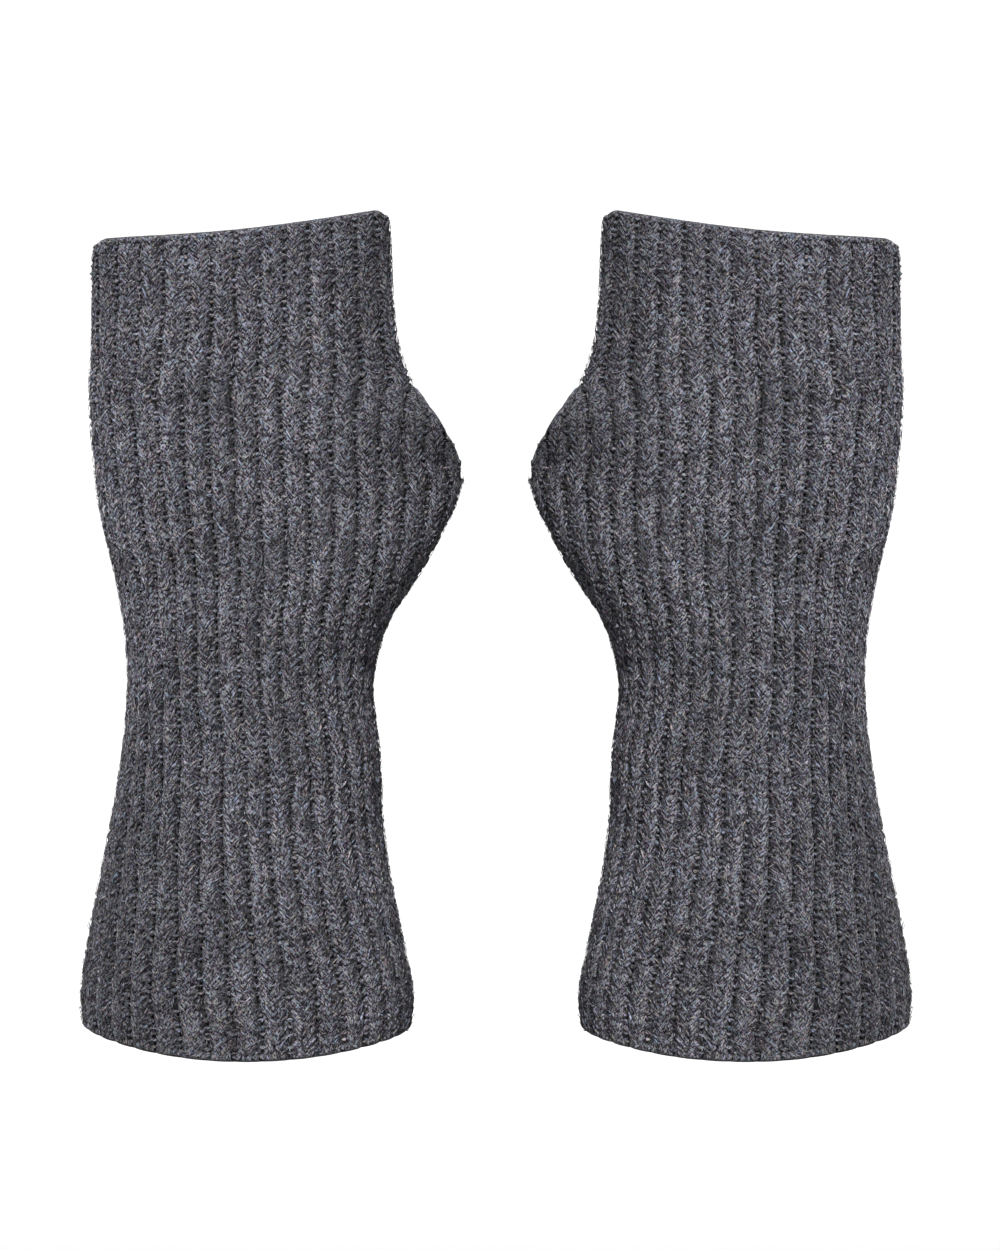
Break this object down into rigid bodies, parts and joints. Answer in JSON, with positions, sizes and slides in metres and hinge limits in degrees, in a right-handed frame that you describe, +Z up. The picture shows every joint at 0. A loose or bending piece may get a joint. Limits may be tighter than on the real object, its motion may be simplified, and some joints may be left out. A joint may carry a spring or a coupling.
{
  "type": "pair of fingerless gloves",
  "caption": "Hollow ribbed wool tubes shaped to a hand, open at the cuff and fingers, with a slanted slit for each thumb.",
  "frame": {"origin": "on the mid-plane of the pair, at the height of the wearer's wrists, half-way through the depth of the wrists", "axes": "+X from the left glove to the right one, +Y from the backs of the hands to the palms, +Z up the hands towards the fingers"},
  "size_m": [0.2098, 0.0698, 0.2121],
  "materials": {
    "left_wool": "matte, brushed rib knit",
    "right_wool": "matte, brushed rib knit"
  },
  "bodies": {
    "root": {"left_glove": "left_wool", "right_glove": "right_wool"}
  },
  "joints": []
}
